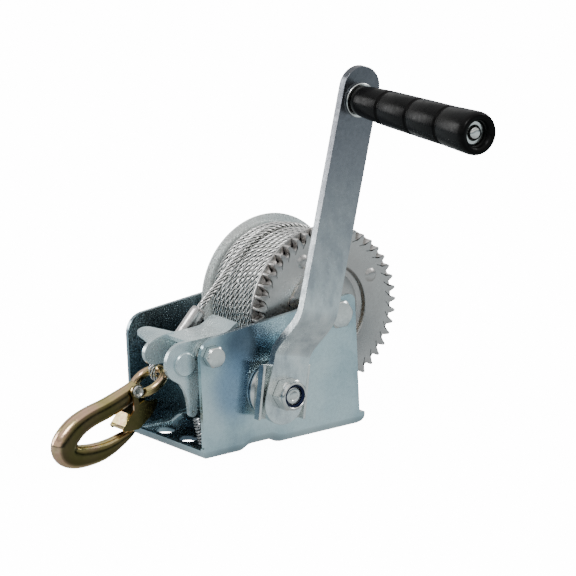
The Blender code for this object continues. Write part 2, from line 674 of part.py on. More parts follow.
def pawl_hardware():
    bolt("pawl_pivot_bolt", 13, (HALF_WIDTH + GAP, HALF_WIDTH + 5.6), (3.4, HALF_WIDTH + 1), PIVOT_R,
         PIVOT_Y, PIVOT_Z, BRIGHT_ZINC)
    nut("pawl_clamp_nut", 13, (36.6, 40.2), PIVOT_R + GAP, PIVOT_Y, PIVOT_Z, BRIGHT_ZINC)
    ring("pawl_washer", PIVOT_R + GAP, 8.0, (34.9, 36.2), PIVOT_Y, PIVOT_Z, BRIGHT_ZINC)
    ring("pawl_clip", PIVOT_R + GAP, 6.6, (4.4, 5.6), PIVOT_Y, PIVOT_Z, SPRING_STEEL)


def pawl_spring():
    """An extension spring from the pawl's tail down to the front of the base."""
    turns, radius, per_turn = 9, 2.4, 12
    low = Vector((SPRING_X, *SPRING_LOW))
    high = Vector((SPRING_X, *SPRING_HIGH))
    axis = (high - low).normalized()
    side = Vector((1, 0, 0))
    front = axis.cross(side)
    path = []
    for k in range(turns * per_turn + 1):
        angle = 2 * math.pi * k / per_turn
        along = k / (turns * per_turn)
        path.append(low + (high - low) * along + (side * math.cos(angle) + front * math.sin(angle)) * radius)
    rod("pawl_spring", path, 0.6, SPRING_STEEL, 2)


# ---------------------------------------------------------------- cable and hook

def cable():
    leave = math.radians(52)
    reach = WINDING_R + ROPE_R + GAP
    start = (-14.0, -reach * math.cos(leave), DRUM_Z + reach * math.sin(leave))
    top, end = FERRULE_TOP, FERRULE_END
    run = Vector((0, end[0] - top[0], end[1] - top[1])).normalized()
    finish = Vector((HOOK_X, *top)) - run * GAP
    route = [start, (-10.8, -44.8, 108.4), (-5.6, -61.0, 97.8), finish - run * 4, finish]
    rod("cable_run", smooth_path(route, 6), ROPE_R, WIRE)
    side = Vector((0, -run.z, run.y))
    base = Vector((HOOK_X, *end)) + run * GAP
    wire = Vector((HOOK_X, EYE_Y + EYE_DIR[0] * EYE_R, EYE_Z + EYE_DIR[1] * EYE_R))
    turn = EYE_WIRE + ROPE_R + 0.9
    ahead = (wire - base).normalized()
    over = Vector((0, -ahead.z, ahead.y))
    loop = [base + side * 3.0, base + side * 3.6 + run * 5]
    for k in range(7):
        angle = math.radians(80 - 160 * k / 6)
        loop.append(wire + (ahead * math.cos(angle) + over * math.sin(angle)) * turn)
    loop += [base - side * 3.6 + run * 5, base - side * 3.0]
    rod("cable_loop", smooth_path(loop, 4), ROPE_R, WIRE)
    ferrule(run, side)


def ferrule(run, side):
    """A crimped sleeve with a lobe around each leg of the loop."""
    top, end = Vector((HOOK_X, *FERRULE_TOP)), Vector((HOOK_X, *FERRULE_END))
    sections = []
    for along, wide, thick in ((0, 5.4, 3.6), (0.12, 5.9, 4.1), (0.9, 6.9, 4.1), (1, 6.4, 3.6)):
        centre = top.lerp(end, along)
        ring_points = []
        for k in range(16):
            angle = 2 * math.pi * k / 16
            a, b = math.cos(angle), math.sin(angle)
            waist = 1 - 0.14 * (1 - abs(a)) ** 2
            ring_points.append(centre + side * wide * a + Vector((thick * b * waist, 0, 0)))
        sections.append(ring_points)
    loft("ferrule", sections, ALUMINIUM)


HOOK_LINE = [
    # Y, Z, width in the hook's plane, thickness across it
    (-128.6, 45.4, 10.4, 9.0), (-134.5, 41.9, 12.4, 10.2), (-142.5, 38.8, 13.2, 11.0),
    (-153.5, 35.4, 13.4, 11.6), (-165.0, 32.6, 13.9, 12.2), (-174.6, 28.8, 14.7, 12.9),
    (-181.6, 23.6, 15.8, 13.4), (-186.2, 17.2, 17.0, 13.6), (-184.8, 11.8, 16.8, 13.2),
    (-178.6, 8.5, 15.8, 12.8), (-169.0, 7.4, 14.4, 12.0), (-158.5, 8.0, 12.6, 11.4),
    (-149.5, 10.2, 10.2, 10.4), (-141.5, 13.3, 7.8, 9.0), (-136.0, 15.5, 5.4, 7.6),
    (-132.8, 16.7, 3.0, 5.8),
]


def hook():
    sections = []
    for i, (y, z, wide, thick) in enumerate(HOOK_LINE):
        back, ahead = HOOK_LINE[max(i - 1, 0)], HOOK_LINE[min(i + 1, len(HOOK_LINE) - 1)]
        run = Vector((0, ahead[0] - back[0], ahead[1] - back[1])).normalized()
        out = Vector((0, -run.z, run.y))
        points = []
        for k in range(10):
            angle = 2 * math.pi * (k + 0.5) / 10
            a, b = math.cos(angle), math.sin(angle)
            a, b = math.copysign(abs(a) ** 0.8, a), math.copysign(abs(b) ** 0.8, b)
            points.append(Vector((HOOK_X, y, z)) + out * a * wide / 2 + Vector((b * thick / 2, 0, 0)))
        sections.append(points)
    body = loft("hook_body", sections, YELLOW_ZINC)
    bpy.ops.mesh.primitive_torus_add(
        major_radius=EYE_R * MM, minor_radius=EYE_WIRE * MM, major_segments=24, minor_segments=10,
        location=(HOOK_X * MM, EYE_Y * MM, EYE_Z * MM),
        rotation=(math.atan2(EYE_DIR[1], EYE_DIR[0]), 0, 0))
    eye = bpy.context.object
    eye.name = "hook_eye"
    for holder in list(eye.users_collection):
        holder.objects.unlink(eye)
    CUTTERS.objects.link(eye)
    eye.hide_render = True
    eye.display_type = "WIRE"
    boolean(body, eye, "UNION")
    boolean(body, ring("cut_rivet", 0, RIVET_R + GAP, (HOOK_X - 12, HOOK_X + 12), RIVET_Y, RIVET_Z, steps=20))
    seat = (HOOK_X + FLANK_X[0] - 0.4, HOOK_X + 20)
    boolean(body, ring("cut_seat", 0, EAR_R + 0.5, seat, RIVET_Y, RIVET_Z, steps=24))
    return body


def hook_latch():
    """A sheet channel that closes the mouth, hung from the rivet by its near flank."""
    ear = arc(RIVET_Y, RIVET_Z, EAR_R, -90, 225, 16)
    flank = [(-135.8, 32.2), (-145.3, 21.6), (-144.3, 19.6), (-133.0, 19.2), (-122.2, 27.0), (-117.6, 33.8),
             (-118.0, 36.6), (-124.6, 36.4)]
    inner, outer = FLANK_X
    hole = circle(RIVET_Y, RIVET_Z, RIVET_R + GAP, 20)
    latch = plate("hook_latch", [ear + flank + [(-127.2, 37.4), (-131.4, 35.8)], hole],
                  (HOOK_X + inner, HOOK_X + outer), YELLOW_ZINC)
    far = plate("latch_far_flank", [flank], (HOOK_X - outer, HOOK_X - inner))
    web = [(-138.0, 29.8), (-145.2, 21.7), (-144.4, 20.5), (-137.0, 28.7)]
    cover = plate("latch_web", [web], (HOOK_X - outer + 0.02, HOOK_X + outer - 0.02))
    for piece in (latch, far, cover):
        taper(piece)
    boolean(latch, cover, "UNION")
    boolean(latch, far, "UNION")
    return latch


def taper(piece):
    """The latch's flanks draw together towards its tip."""
    long_way = Vector((0, -145.3 - RIVET_Y, 21.6 - RIVET_Z))
    for v in piece.data.vertices:
        share = (v.co / MM - Vector((0, RIVET_Y, RIVET_Z))).dot(long_way) / long_way.length_squared
        squeeze = 1 - 0.55 * min(1.0, max(0.0, (share - 0.3) / 0.7))
        v.co.x = (HOOK_X + (v.co.x / MM - HOOK_X) * squeeze) * MM


def latch_rivet():
    profile = [(0, 9.9), (2.4, 9.7), (4.2, 8.2), (RIVET_R, 8.2), (RIVET_R, -3.6), (0, -3.6)]
    where = Matrix.Translation((HOOK_X * MM, 0, 0)) @ along_x(RIVET_Y, RIVET_Z)
    turned("latch_rivet", profile, where, BRIGHT_ZINC, 20)


# ---------------------------------------------------------------- build

clear_scene()
PARTS = collection("boat_trailer_winch")
CUTTERS = collection("cutters")
ZINC = material("zinc_sheet", (0.55, 0.62, 0.65), 1.0, 0.32)
ARM_ZINC = material("arm_zinc", (0.62, 0.68, 0.70), 1.0, 0.38)
BRIGHT_ZINC = material("bright_zinc", (0.72, 0.72, 0.70), 1.0, 0.28)
GEAR_STEEL = material("gear_steel", (0.56, 0.55, 0.53), 1.0, 0.38)
WIRE = material("wire_rope", (0.62, 0.62, 0.60), 1.0, 0.35)
ALUMINIUM = material("aluminium", (0.70, 0.68, 0.67), 1.0, 0.4)
BRONZE = material("bronze", (0.45, 0.33, 0.18), 1.0, 0.45)
SPRING_STEEL = material("spring_steel", (0.35, 0.36, 0.37), 1.0, 0.35)
YELLOW_ZINC = material("yellow_zinc", (0.60, 0.50, 0.22), 1.0, 0.3)
NYLON = material("blue_nylon", (0.03, 0.04, 0.10), 0.0, 0.4)
BLACK = material("black_grip", (0.02, 0.02, 0.02), 0.0, 0.35)

frame()
drum_axle()
drum()
drive_shaft()
thrust_washer()
handle_bracket()
crank_arm()
crank_nut()
grip()
pawl()
pawl_hardware()
pawl_spring()
cable()
hook()
hook_latch()
latch_rivet()
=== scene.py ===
"""The looks of the boat trailer winch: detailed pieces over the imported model, light and camera.

Lengths in this file are in millimetres, in the model's own frame: +X points to the crank, -Y to the
front and +Z up. They become metres when a mesh is made.
"""

import json
import math
import random

import bmesh
import bpy
from mathutils import Matrix, Vector

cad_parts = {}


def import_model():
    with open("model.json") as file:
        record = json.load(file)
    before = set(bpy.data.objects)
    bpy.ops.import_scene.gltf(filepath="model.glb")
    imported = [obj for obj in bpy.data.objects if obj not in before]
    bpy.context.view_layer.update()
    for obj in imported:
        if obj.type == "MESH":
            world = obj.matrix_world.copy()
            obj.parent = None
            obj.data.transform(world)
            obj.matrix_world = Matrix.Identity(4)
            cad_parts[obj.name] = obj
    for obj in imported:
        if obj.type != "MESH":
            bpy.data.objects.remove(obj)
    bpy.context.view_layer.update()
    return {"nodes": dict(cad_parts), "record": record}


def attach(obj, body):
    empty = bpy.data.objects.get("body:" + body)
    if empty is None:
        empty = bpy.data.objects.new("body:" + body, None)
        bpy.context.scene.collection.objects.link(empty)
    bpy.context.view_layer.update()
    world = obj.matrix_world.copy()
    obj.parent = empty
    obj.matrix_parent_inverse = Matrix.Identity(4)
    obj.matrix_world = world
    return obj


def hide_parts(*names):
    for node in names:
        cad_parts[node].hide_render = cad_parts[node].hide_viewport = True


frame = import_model()
NODES = frame["nodes"]
BODY_OF = {node: body for body, nodes in frame["record"]["behaviour"]["bodies"].items()
           for node in nodes}
SLOT_OF = {part["node"]: part["material_slot"] for part in frame["record"]["subparts"]}
MM = 0.001
BEVEL_ANGLE = 35

# Camera
AIM = (52.6, -43.1, 105.8)
DISTANCE, LENS = 4060.0, 393.7
AZIMUTH, ELEVATION, ROLL = 55.871, 15.113, -2.635

# Drum and gearing
DRUM_Z = 78.9
MODULE, GEAR_TEETH, PINION_TEETH = 2.4, 44, 11
PRESSURE_ANGLE, BACKLASH = math.radians(20), 0.25
MESH_ANGLE = math.radians(218.2)
CENTRES = MODULE * (GEAR_TEETH + PINION_TEETH) / 2
SHAFT = (CENTRES * math.cos(MESH_ANGLE), DRUM_Z + CENTRES * math.sin(MESH_ANGLE))
GEAR_X, GEAR_TIP, GEAR_ROOT = (26.9, 33.0), 55.2, 49.8
DISH_X = 29.4
DIMPLE_R, DIMPLE_TURN = 39.5, 25.4
WINDING_X, WINDING_R, CORE_R = (-33.6, 24.8), 47.5, 20.3
WRAPS, FIRST_WRAP = 12, math.radians(-60)

# Crank
THROW, TILT = 196.4, math.radians(-15.75)
GRIP = (SHAFT[0] - THROW * math.sin(TILT), SHAFT[1] + THROW * math.cos(TILT))
GRIP_X = (79.4, 207.5)
ROD_BORE = 5.3

# Cable and hook
ROPE_R, STRANDS, LAY = 2.4, 6, 25.0
STRAND_TURNS = (-104, -70, -35, 0, 35, 70, 104)
# Faces of each strand's section that lie in the grooves and take the painted shade
STRAND_GROOVES = (0, 5, 6)
RUN_X, LEAVE, TOP_WRAP_R = -14.0, math.radians(52), WINDING_R + ROPE_R + 0.3
HOOK_X = -1.5
FERRULE_TOP, FERRULE_END = (-76.5, 87.4), (-92.5, 69.6)
EYE, EYE_R, EYE_WIRE, EYE_DIR = (-118.8, 47.2), 11.3, 3.1, (0.845, 0.535)
RIVET, PIVOT = (-132.4, 44.4), (-98.0, 69.0)

# Bolt heads start at this X, a hair off the side plate
HEAD_X = 43.8
HEX_STEPS, HEX_EASE = 96, 0.25


# ---------------------------------------------------------------- mesh helpers

def place(name, mesh, node):
    """An object of that mesh which stands for a CAD node, rides on its body and takes its slot."""
    made = bpy.data.objects.new(name, mesh)
    bpy.context.scene.collection.objects.link(made)
    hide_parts(node)
    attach(made, BODY_OF[node])
    mesh.materials.append(LOOKS.get(node) or LOOKS[SLOT_OF[node]])
    return made


def mesh_of(name, shape, smooth=35):
    """A mesh of that shape, its edges sharp where faces meet at more than the smooth angle."""
    bmesh.ops.remove_doubles(shape, verts=shape.verts, dist=1e-7)
    bmesh.ops.recalc_face_normals(shape, faces=shape.faces)
    mesh = bpy.data.meshes.new(name)
    shape.to_mesh(mesh)
    shape.free()
    mesh.shade_smooth()
    mesh.set_sharp_from_angle(angle=math.radians(smooth))
    return mesh


def detailed(node, shape, smooth=35):
    return place(f"{node}_detail", mesh_of(node, shape, smooth), node)


def skin(shape, rings):
    """Faces between neighbouring rings of corners; a ring of one corner is a tip."""
    for low, high in zip(rings, rings[1:]):
        count = max(len(low), len(high))
        for i in range(count):
            j = (i + 1) % count
            corners = [low[i % len(low)], low[j % len(low)], high[j % len(high)], high[i % len(high)]]
            kept = [c for k, c in enumerate(corners) if c is not corners[k - 1]]
            if len(kept) > 2:
                shape.faces.new(kept)


def turn_into(shape, profile, y, z, steps=96):
    """Adds a profile of (radius, x) pairs turned about a line along X."""
    rings = []
    for r, x in profile:
        if r == 0:
            rings.append([shape.verts.new((x * MM, y * MM, z * MM))])
            continue
        angles = [2 * math.pi * k / steps for k in range(steps)]
        rings.append([
            shape.verts.new((x * MM, (y + r * math.cos(a)) * MM, (z + r * math.sin(a)) * MM))
            for a in angles
        ])
    if profile[0][0]:
        rings.append(rings[0])
    skin(shape, rings)


def turned(node, profile, y, z, steps=96, smooth=35):
    shape = bmesh.new()
    turn_into(shape, profile, y, z, steps)
    return detailed(node, shape, smooth)


def smooth_path(points, step):
    """Points about a step apart on a Catmull-Rom curve through the given points."""
    spots = [Vector(p) for p in points]
    spots = [spots[0] * 2 - spots[1], *spots, spots[-1] * 2 - spots[-2]]
    path = []
    for a, b, c, d in zip(spots, spots[1:], spots[2:], spots[3:]):
        count = max(1, round((c - b).length / step))
        for i in range(count):
            t = i / count
            path.append(
                0.5 * (2 * b + (c - a) * t + (2 * a - 5 * b + 4 * c - d) * t * t
                       + (3 * b - a - 3 * c + d) * t ** 3)
            )
    return [*path, spots[-2]]


def carried(path, side):
    """For each point of a path, two directions square to it that don't spin about it."""
    frames = []
    for i, spot in enumerate(path):
        run = (path[min(i + 1, len(path) - 1)] - path[max(i - 1, 0)]).normalized()
        side = (side - run * side.dot(run)).normalized()
        frames.append((spot, side, run.cross(side)))
    return frames


def bevelled(node, width):
    """The CAD node's own shape, its edges rounded."""
    shape = bmesh.new()
    shape.from_mesh(NODES[node].data)
    bmesh.ops.remove_doubles(shape, verts=shape.verts, dist=2e-6)
    bmesh.ops.dissolve_limit(shape, angle_limit=math.radians(1.5), verts=shape.verts,
                             edges=shape.edges)
    sharp = [e for e in shape.edges
             if len(e.link_faces) == 2 and e.calc_face_angle(0) > math.radians(BEVEL_ANGLE)]
    bmesh.ops.bevel(shape, geom=sharp, offset=width * MM, offset_type="OFFSET", segments=2,
                    profile=0.5, affect="EDGES", clamp_overlap=True)
    made = detailed(node, shape, 40)
    made.modifiers.new("flat faces stay flat", "WEIGHTED_NORMAL").keep_sharp = True
    return made


# ---------------------------------------------------------------- materials

def node_material(name):
    made = bpy.data.materials.new(name)
    made.use_nodes = True
    return made, made.node_tree.nodes, made.node_tree.links.new


def noise(nodes, link, scale, detail, stretch=(1, 1, 1)):
    """A noise in the object's own space, drawn out along the axes whose stretch is small."""
    where = nodes.new("ShaderNodeTexCoord")
    map_ = nodes.new("ShaderNodeMapping")
    map_.inputs["Scale"].default_value = stretch
    link(where.outputs["Object"], map_.inputs["Vector"])
    made = nodes.new("ShaderNodeTexNoise")
    made.inputs["Scale"].default_value = scale
    made.inputs["Detail"].default_value = detail
    link(map_.outputs["Vector"], made.inputs["Vector"])
    return made.outputs["Fac"]


def ramp(nodes, link, factor, stops):
    made = nodes.new("ShaderNodeValToRGB")
    elements = made.color_ramp.elements
    while len(elements) < len(stops):
        elements.new(0.5)
    for element, (at, colour) in zip(elements, stops):
        element.position = at
        element.color = (*colour, 1)
    link(factor, made.inputs["Fac"])
    return made.outputs["Color"]


def spread(nodes, link, factor, low, high):
    made = nodes.new("ShaderNodeMapRange")
    made.inputs["From Min"].default_value = 0.3
    made.inputs["From Max"].default_value = 0.7
    made.inputs["To Min"].default_value = low
    made.inputs["To Max"].default_value = high
    link(factor, made.inputs["Value"])
    return made.outputs["Result"]


def bumps(nodes, link, shader, layers):
    """Height layers of (factor, distance in millimetres), each on top of the last."""
    last = None
    for factor, distance in layers:
        bump = nodes.new("ShaderNodeBump")
        bump.inputs["Distance"].default_value = distance * MM
        link(factor, bump.inputs["Height"])
        if last:
            link(last.outputs["Normal"], bump.inputs["Normal"])
        last = bump
    link(last.outputs["Normal"], shader.inputs["Normal"])


def blend(nodes, link, share, colour, tint):
    """A colour that goes over to a tint as the share rises."""
    mix = nodes.new("ShaderNodeMix")
    mix.data_type = "RGBA"
    factor, first, second = mix.inputs[0], mix.inputs[6], mix.inputs[7]
    second.default_value = (*tint, 1)
    link(share, factor)
    link(colour, first)
    return mix.outputs[2]


def painted_shade_and_tint_spot(nodes, link, colour, spot, radius, tint, amount):
    """Shades a colour towards a tint round one place on the object, in millimetres: painted shade where
    the tint is dark, and also one blue patch in the plating.
    """
    where = nodes.new("ShaderNodeTexCoord")
    map_ = nodes.new("ShaderNodeMapping")
    map_.inputs["Location"].default_value = [-c / r for c, r in zip(spot, radius)]
    map_.inputs["Scale"].default_value = [1000 / r for r in radius]
    ball = nodes.new("ShaderNodeTexGradient")
    ball.gradient_type = "SPHERICAL"
    ease = nodes.new("ShaderNodeMapRange")
    ease.interpolation_type = "SMOOTHERSTEP"
    ease.inputs["From Max"].default_value = 0.8
    ease.inputs["To Max"].default_value = amount
    link(where.outputs["Object"], map_.inputs["Vector"])
    link(map_.outputs["Vector"], ball.inputs["Vector"])
    link(ball.outputs["Fac"], ease.inputs["Value"])
    return blend(nodes, link, ease.outputs["Result"], colour, tint)


def painted_side_shade(nodes, link, colour, tint, amount):
    """Painted shade: darkens a colour towards a tint on faces that look to the crank's side."""
    where = nodes.new("ShaderNodeTexCoord")
    split = nodes.new("ShaderNodeSeparateXYZ")
    ease = nodes.new("ShaderNodeMapRange")
    ease.interpolation_type = "SMOOTHSTEP"
    ease.inputs["From Min"].default_value = 0.72
    ease.inputs["From Max"].default_value = 0.97
    ease.inputs["To Max"].default_value = amount
    link(where.outputs["Normal"], split.inputs["Vector"])
    link(split.outputs["X"], ease.inputs["Value"])
    return blend(nodes, link, ease.outputs["Result"], colour, tint)


def metal(name, stops, roughness, patch=28, grain=900, warp=0.5, pit=0.02, stretch=(1, 1, 1),
          shade_and_tint_spots=(), side=None, metallic=1.0):
    """Plated steel: cloudy colour in patches, a fine grain, and a surface that isn't quite flat.

    Patch and grain are noise scales, warp and pit heights in millimetres. Each spot shades one place:
    painted shade, and on the sheet one blue patch in the plating; side paints shade on the faces that
    look to the crank's side.
    """
    made, nodes, link = node_material(name)
    shader = nodes["Principled BSDF"]
    shader.inputs["Metallic"].default_value = metallic
    slow = noise(nodes, link, patch, 5, stretch)
    fine = noise(nodes, link, grain, 3)
    colour = ramp(nodes, link, slow, stops)
    # painted shade round given places, and the sheet's one blue patch
    for spot, radius, tint, amount in shade_and_tint_spots:
        colour = painted_shade_and_tint_spot(nodes, link, colour, spot, radius, tint, amount)
    # painted shade on the faces towards the crank's side
    if side:
        colour = painted_side_shade(nodes, link, colour, *side)
    link(colour, shader.inputs["Base Color"])
    link(spread(nodes, link, fine, roughness - 0.06, roughness + 0.08), shader.inputs["Roughness"])
    wave = noise(nodes, link, patch * 0.8, 1)
    bumps(nodes, link, shader, [(wave, warp), (fine, pit)])
    return made


def plastic(name, colour, roughness, grain, pit):
    made, nodes, link = node_material(name)
    shader = nodes["Principled BSDF"]
    shader.inputs["Specular IOR Level"].default_value = 0.09
    fine = noise(nodes, link, grain, 5)
    dusty = tuple(c * 1.6 + 0.001 for c in colour)
    link(ramp(nodes, link, noise(nodes, link, 60, 4), [(0.35, colour), (0.75, dusty)]),
         shader.inputs["Base Color"])
    link(spread(nodes, link, fine, roughness - 0.06, roughness + 0.1), shader.inputs["Roughness"])
    bumps(nodes, link, shader, [(fine, pit)])
    return made


# Painted shade and one blue patch on the sheet: place, reach, tint, amount
SHEET_PAINTED_SHADE_AND_BLUE = [
    # painted shade: a dark reflection on the near plate's upper middle
    ((43.5, -70.0, 72.0), (30, 34, 30), (0.05, 0.08, 0.13), 0.85),
    # a blue patch in the near plate's plating
    ((43.5, -82.0, 44.0), (30, 30, 34), (0.16, 0.28, 0.44), 0.75),
    # painted shade on the far plate's inner face
    ((-42.0, -70.0, 50.0), (40, 70, 60), (0.04, 0.07, 0.10), 0.9),
    # painted shade on the base plate under the drum
    ((0.0, -70.0, 2.0), (60, 70, 30), (0.04, 0.06, 0.09), 0.9),
]
# Painted shade on the crank arm: darker towards its top end and a little darker at its middle: place,
# reach, tint, amount
ARM_PAINTED_SHADE = [
    ((75.0, 0.0, 240.0), (240, 160, 130), (0.13, 0.135, 0.155), 0.95),
    ((75.0, -20.0, 165.0), (240, 160, 90), (0.28, 0.29, 0.32), 0.6),
]
LOOKS = {
    "zinc_sheet": metal(
        "zinc_sheet",
        [(0.34, (0.32, 0.44, 0.50)), (0.5, (0.54, 0.69, 0.73)), (0.66, (0.68, 0.81, 0.83))],
        roughness=0.22, patch=20, grain=500, warp=0.8, pit=0.004, shade_and_tint_spots=SHEET_PAINTED_SHADE_AND_BLUE),
    "arm_zinc": metal(
        "arm_zinc",
        [(0.3, (0.54, 0.60, 0.63)), (0.5, (0.74, 0.81, 0.82)), (0.68, (0.88, 0.94, 0.94))],
        roughness=0.3, patch=130, grain=420, warp=0.3, pit=0.06, stretch=(1, 1, 0.5),
        shade_and_tint_spots=ARM_PAINTED_SHADE),
    # Painted light: the pawl and the far flange take paler, less metallic copies of the zinc plating,
    # so that they look lit
    "pawl": metal(
        "pawl_zinc_painted_light",
        [(0.34, (0.48, 0.60, 0.64)), (0.5, (0.64, 0.76, 0.78)), (0.66, (0.76, 0.86, 0.87))],
        roughness=0.24, patch=40, grain=500, warp=0.3, pit=0.01, metallic=0.6),
    "far_flange": metal(
        "flange_zinc_painted_light",
        [(0.34, (0.76, 0.84, 0.84)), (0.5, (0.88, 0.93, 0.91)), (0.66, (0.94, 0.96, 0.94))],
        roughness=0.28, patch=30, grain=500, warp=0.3, pit=0.01, metallic=0.5),
    "bright_zinc": metal(
        "bright_zinc", [(0.3, (0.68, 0.70, 0.68)), (0.7, (0.86, 0.87, 0.84))],
        roughness=0.2, patch=90, grain=500, warp=0.15, pit=0.006),
    "gear_steel": metal(
        "gear_steel", [(0.3, (0.52, 0.505, 0.49)), (0.7, (0.66, 0.64, 0.62))],
        roughness=0.32, patch=40, grain=500, warp=0.2, pit=0.01),
    "wire_rope": metal(
        "wire_rope", [(0.3, (0.70, 0.70, 0.68)), (0.7, (0.96, 0.96, 0.94))],
        roughness=0.17, patch=260, grain=1200, warp=0.02, pit=0.006),
    "ferrule_aluminium": metal(
        "ferrule_aluminium", [(0.3, (0.48, 0.46, 0.45)), (0.7, (0.76, 0.74, 0.73))],
        roughness=0.3, patch=160, grain=700, warp=0.15, pit=0.03),
    "bronze_bush": metal(
        "bronze_bush", [(0.3, (0.30, 0.21, 0.10)), (0.7, (0.46, 0.34, 0.18))],
        roughness=0.4, patch=120),
    "spring_steel": metal(
        "spring_steel", [(0.3, (0.34, 0.35, 0.37)), (0.7, (0.62, 0.63, 0.64))],
        roughness=0.24, patch=200, grain=900, warp=0.02, pit=0.004),
    "yellow_zinc": metal(
        "yellow_zinc",
        [(0.3, (0.40, 0.36, 0.12)), (0.48, (0.58, 0.46, 0.22)), (0.6, (0.70, 0.45, 0.31)),
         (0.75, (0.56, 0.52, 0.20))],
        roughness=0.18, patch=55, grain=500, warp=0.1, pit=0.012,
        # painted shade: the faces towards the crank's side are darkened nearly to black
        side=((0.055, 0.048, 0.016), 0.93)),
    "latch_rivet": metal(
        "rivet_steel", [(0.3, (0.55, 0.54, 0.50)), (0.7, (0.74, 0.73, 0.70))],
        roughness=0.22, patch=200, grain=700, warp=0.02, pit=0.01,
        # painted shade: the faces towards the crank's side are darkened
        side=((0.16, 0.16, 0.15), 0.85)),
    "nylon": plastic("nylon", (0.006, 0.010, 0.035), roughness=0.3, grain=900, pit=0.01),
    "grip_plastic": plastic(
        "grip_plastic", (0.002, 0.0018, 0.0019), roughness=0.27, grain=300, pit=0.004),
}
# Painted shade: near black, for the grooves between strands and the bed under the wraps
ROPE_PAINTED_SHADE = metal("rope_painted_shade", [(0.3, (0.003, 0.003, 0.004)), (0.7, (0.015, 0.015, 0.017))],
             roughness=0.6, patch=260)

for node_name, node in NODES.items():
    node.data.materials.clear()
    node.data.materials.append(LOOKS[SLOT_OF[node_name]])


# ---------------------------------------------------------------- wire rope

def rope_section():
    """The rope's outline: six round strands, with deep grooves between them."""
    strand = ROPE_R * 0.325
    middle = ROPE_R - strand
    corners = []
    for k in range(STRANDS):
        a = 2 * math.pi * k / STRANDS
        for turn in STRAND_TURNS:
            b = a + math.radians(turn)
            corners.append((middle * math.cos(a) + strand * math.cos(b),
                            middle * math.sin(a) + strand * math.sin(b)))
    return corners


def rope_into(shape, path, side):
    """Adds a laid rope along a path: its strands wind round it as it goes, with painted shade in the
    grooves.
    """
    section = rope_section()
    rings, run = [], 0
    for i, (spot, across, over) in enumerate(carried(path, side)):
        run += (spot - path[i - 1]).length if i else 0
        turn = 2 * math.pi * run / LAY
        c, s = math.cos(turn), math.sin(turn)
        rings.append([
            shape.verts.new((spot + across * (a * c - b * s) + over * (a * s + b * c)) * MM)
            for a, b in section
        ])
    before = len(shape.faces)
    skin(shape, rings)
    shape.faces.ensure_lookup_table()
    for k in range(before, len(shape.faces)):
        # the faces in the grooves take the painted shade
        if (k - before) % len(STRAND_TURNS) in STRAND_GROOVES:
            shape.faces[k].material_index = 1
    shape.faces.new(rings[0])
    shape.faces.new(rings[-1])


def rope(node, path, side):
    shape = bmesh.new()
    rope_into(shape, path, side)
    made = place(f"{node}_rope", mesh_of(node, shape, 75), node)
    made.data.materials.append(ROPE_PAINTED_SHADE)
    return made


def ferrule_line():
    """The ferrule's two ends, the direction from one to the other, and the one across its lobes."""
    top, end = Vector((HOOK_X, *FERRULE_TOP)), Vector((HOOK_X, *FERRULE_END))
    run = (end - top).normalized()
    return top, end, run, Vector((0, -run.z, run.y))


def cable_points():
    """The route of the free run, and of the loop through the hook's eye, as in the CAD model."""
    top, end, run, side = ferrule_line()
    start = (RUN_X, -TOP_WRAP_R * math.cos(LEAVE), DRUM_Z + TOP_WRAP_R * math.sin(LEAVE))
    gap = 0.3
    finish = top - run * gap
    free = smooth_path(
        [start, (-10.8, -44.8, 108.4), (-5.6, -61.0, 97.8), finish - run * 4, finish], 1.5)
    base = end + run * gap
    wire = Vector((HOOK_X, EYE[0] + EYE_DIR[0] * EYE_R, EYE[1] + EYE_DIR[1] * EYE_R))
    turn = EYE_WIRE + ROPE_R + 0.9
    ahead = (wire - base).normalized()
    over = Vector((0, -ahead.z, ahead.y))
    leg, bow = 3.0, 3.6
    loop = [base + side * leg, base + side * bow + run * 5]
    for k in range(7):
        angle = math.radians(80 - 160 * k / 6)
        loop.append(wire + (ahead * math.cos(angle) + over * math.sin(angle)) * turn)
    loop += [base - side * bow + run * 5, base - side * leg]
    return free, smooth_path(loop, 1.2)


def winding():
    """The layer of rope that shows on the drum: a helix of wraps over a round bed painted dark as the
    shade between them.
    """
    rng = random.Random(4)
    low, high = WINDING_X
    shape = bmesh.new()
    pitch = (high - low - 2 * ROPE_R) / (WRAPS - 1)
    steps = 150
    path = []
    shift = [rng.uniform(-0.35, 0.35) for _ in range(WRAPS + 2)]
    lift = [rng.uniform(-0.5, 0.0) for _ in range(WRAPS + 2)]
    for i in range(WRAPS * steps):
        share = i / steps
        wrap = int(share)
        ease = share - wrap
        wander = shift[wrap] * (1 - ease) + shift[wrap + 1] * ease
        radius = WINDING_R - ROPE_R + lift[wrap] * (1 - ease) + lift[wrap + 1] * ease
        x = min(low + ROPE_R + pitch * share + wander, high - ROPE_R + 0.2)
        angle = FIRST_WRAP + 2 * math.pi * share
        path.append(Vector((x, -radius * math.cos(angle), DRUM_Z + radius * math.sin(angle))))
    rope_into(shape, path, Vector((1, 0, 0)))
    last_wrap(shape)
    bed = WINDING_R - 1.9 * ROPE_R
    before = len(shape.faces)
    turn_into(shape, [(bed, high), (bed, low), (CORE_R, low), (CORE_R, high)], 0, DRUM_Z, 64)
    # the bed takes the painted shade, seen between the wraps
    shape.faces.ensure_lookup_table()
    for face in shape.faces[before:]:
        face.material_index = 1
    made = place("cable_winding_rope", mesh_of("cable_winding", shape, 75), "cable_winding")
    made.data.materials.append(ROPE_PAINTED_SHADE)


